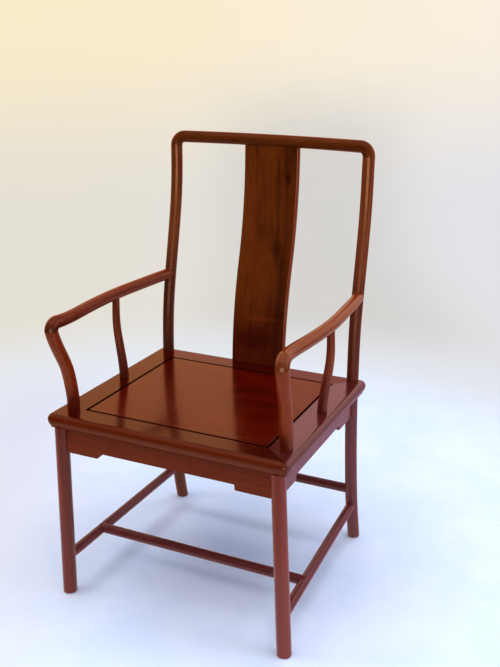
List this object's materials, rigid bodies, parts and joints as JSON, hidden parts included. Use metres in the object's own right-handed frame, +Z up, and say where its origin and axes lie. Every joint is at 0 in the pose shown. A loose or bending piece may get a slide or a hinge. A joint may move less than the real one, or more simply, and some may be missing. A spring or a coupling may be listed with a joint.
{
  "type": "armchair",
  "caption": "Open armchair in lacquered hardwood: back with a bent splat and a crest rail turned down on to its posts, bowed arms on gooseneck posts, framed panel seat, round splayed legs.",
  "frame": {"origin": "on the floor, under the middle of the chair's overall width and depth", "axes": "+X to the sitter's left, -Y to the front, +Z up"},
  "size_m": [0.5802, 0.5882, 1.0324],
  "materials": {
    "hardwood_frame": "glossy clear lacquer",
    "hardwood_panel": "glossy clear lacquer",
    "hardwood_splat": "glossy clear lacquer"
  },
  "bodies": {
    "root": {"apron_front": "hardwood_frame", "apron_left": "hardwood_frame", "apron_rear": "hardwood_frame", "apron_right": "hardwood_frame", "arm_post_left": "hardwood_frame", "arm_post_right": "hardwood_frame", "armrest_left": "hardwood_frame", "armrest_right": "hardwood_frame", "batten_left": "hardwood_frame", "batten_right": "hardwood_frame", "crest_rail": "hardwood_frame", "cross_stretcher": "hardwood_frame", "front_leg_left": "hardwood_frame", "front_leg_right": "hardwood_frame", "rear_leg_left": "hardwood_frame", "rear_leg_right": "hardwood_frame", "rear_stretcher": "hardwood_frame", "seat_panel": "hardwood_panel", "seat_rail_front": "hardwood_frame", "seat_rail_left": "hardwood_frame", "seat_rail_rear": "hardwood_frame", "seat_rail_right": "hardwood_frame", "side_post_left": "hardwood_frame", "side_post_right": "hardwood_frame", "side_stretcher_left": "hardwood_frame", "side_stretcher_right": "hardwood_frame", "splat": "hardwood_splat"}
  },
  "joints": []
}
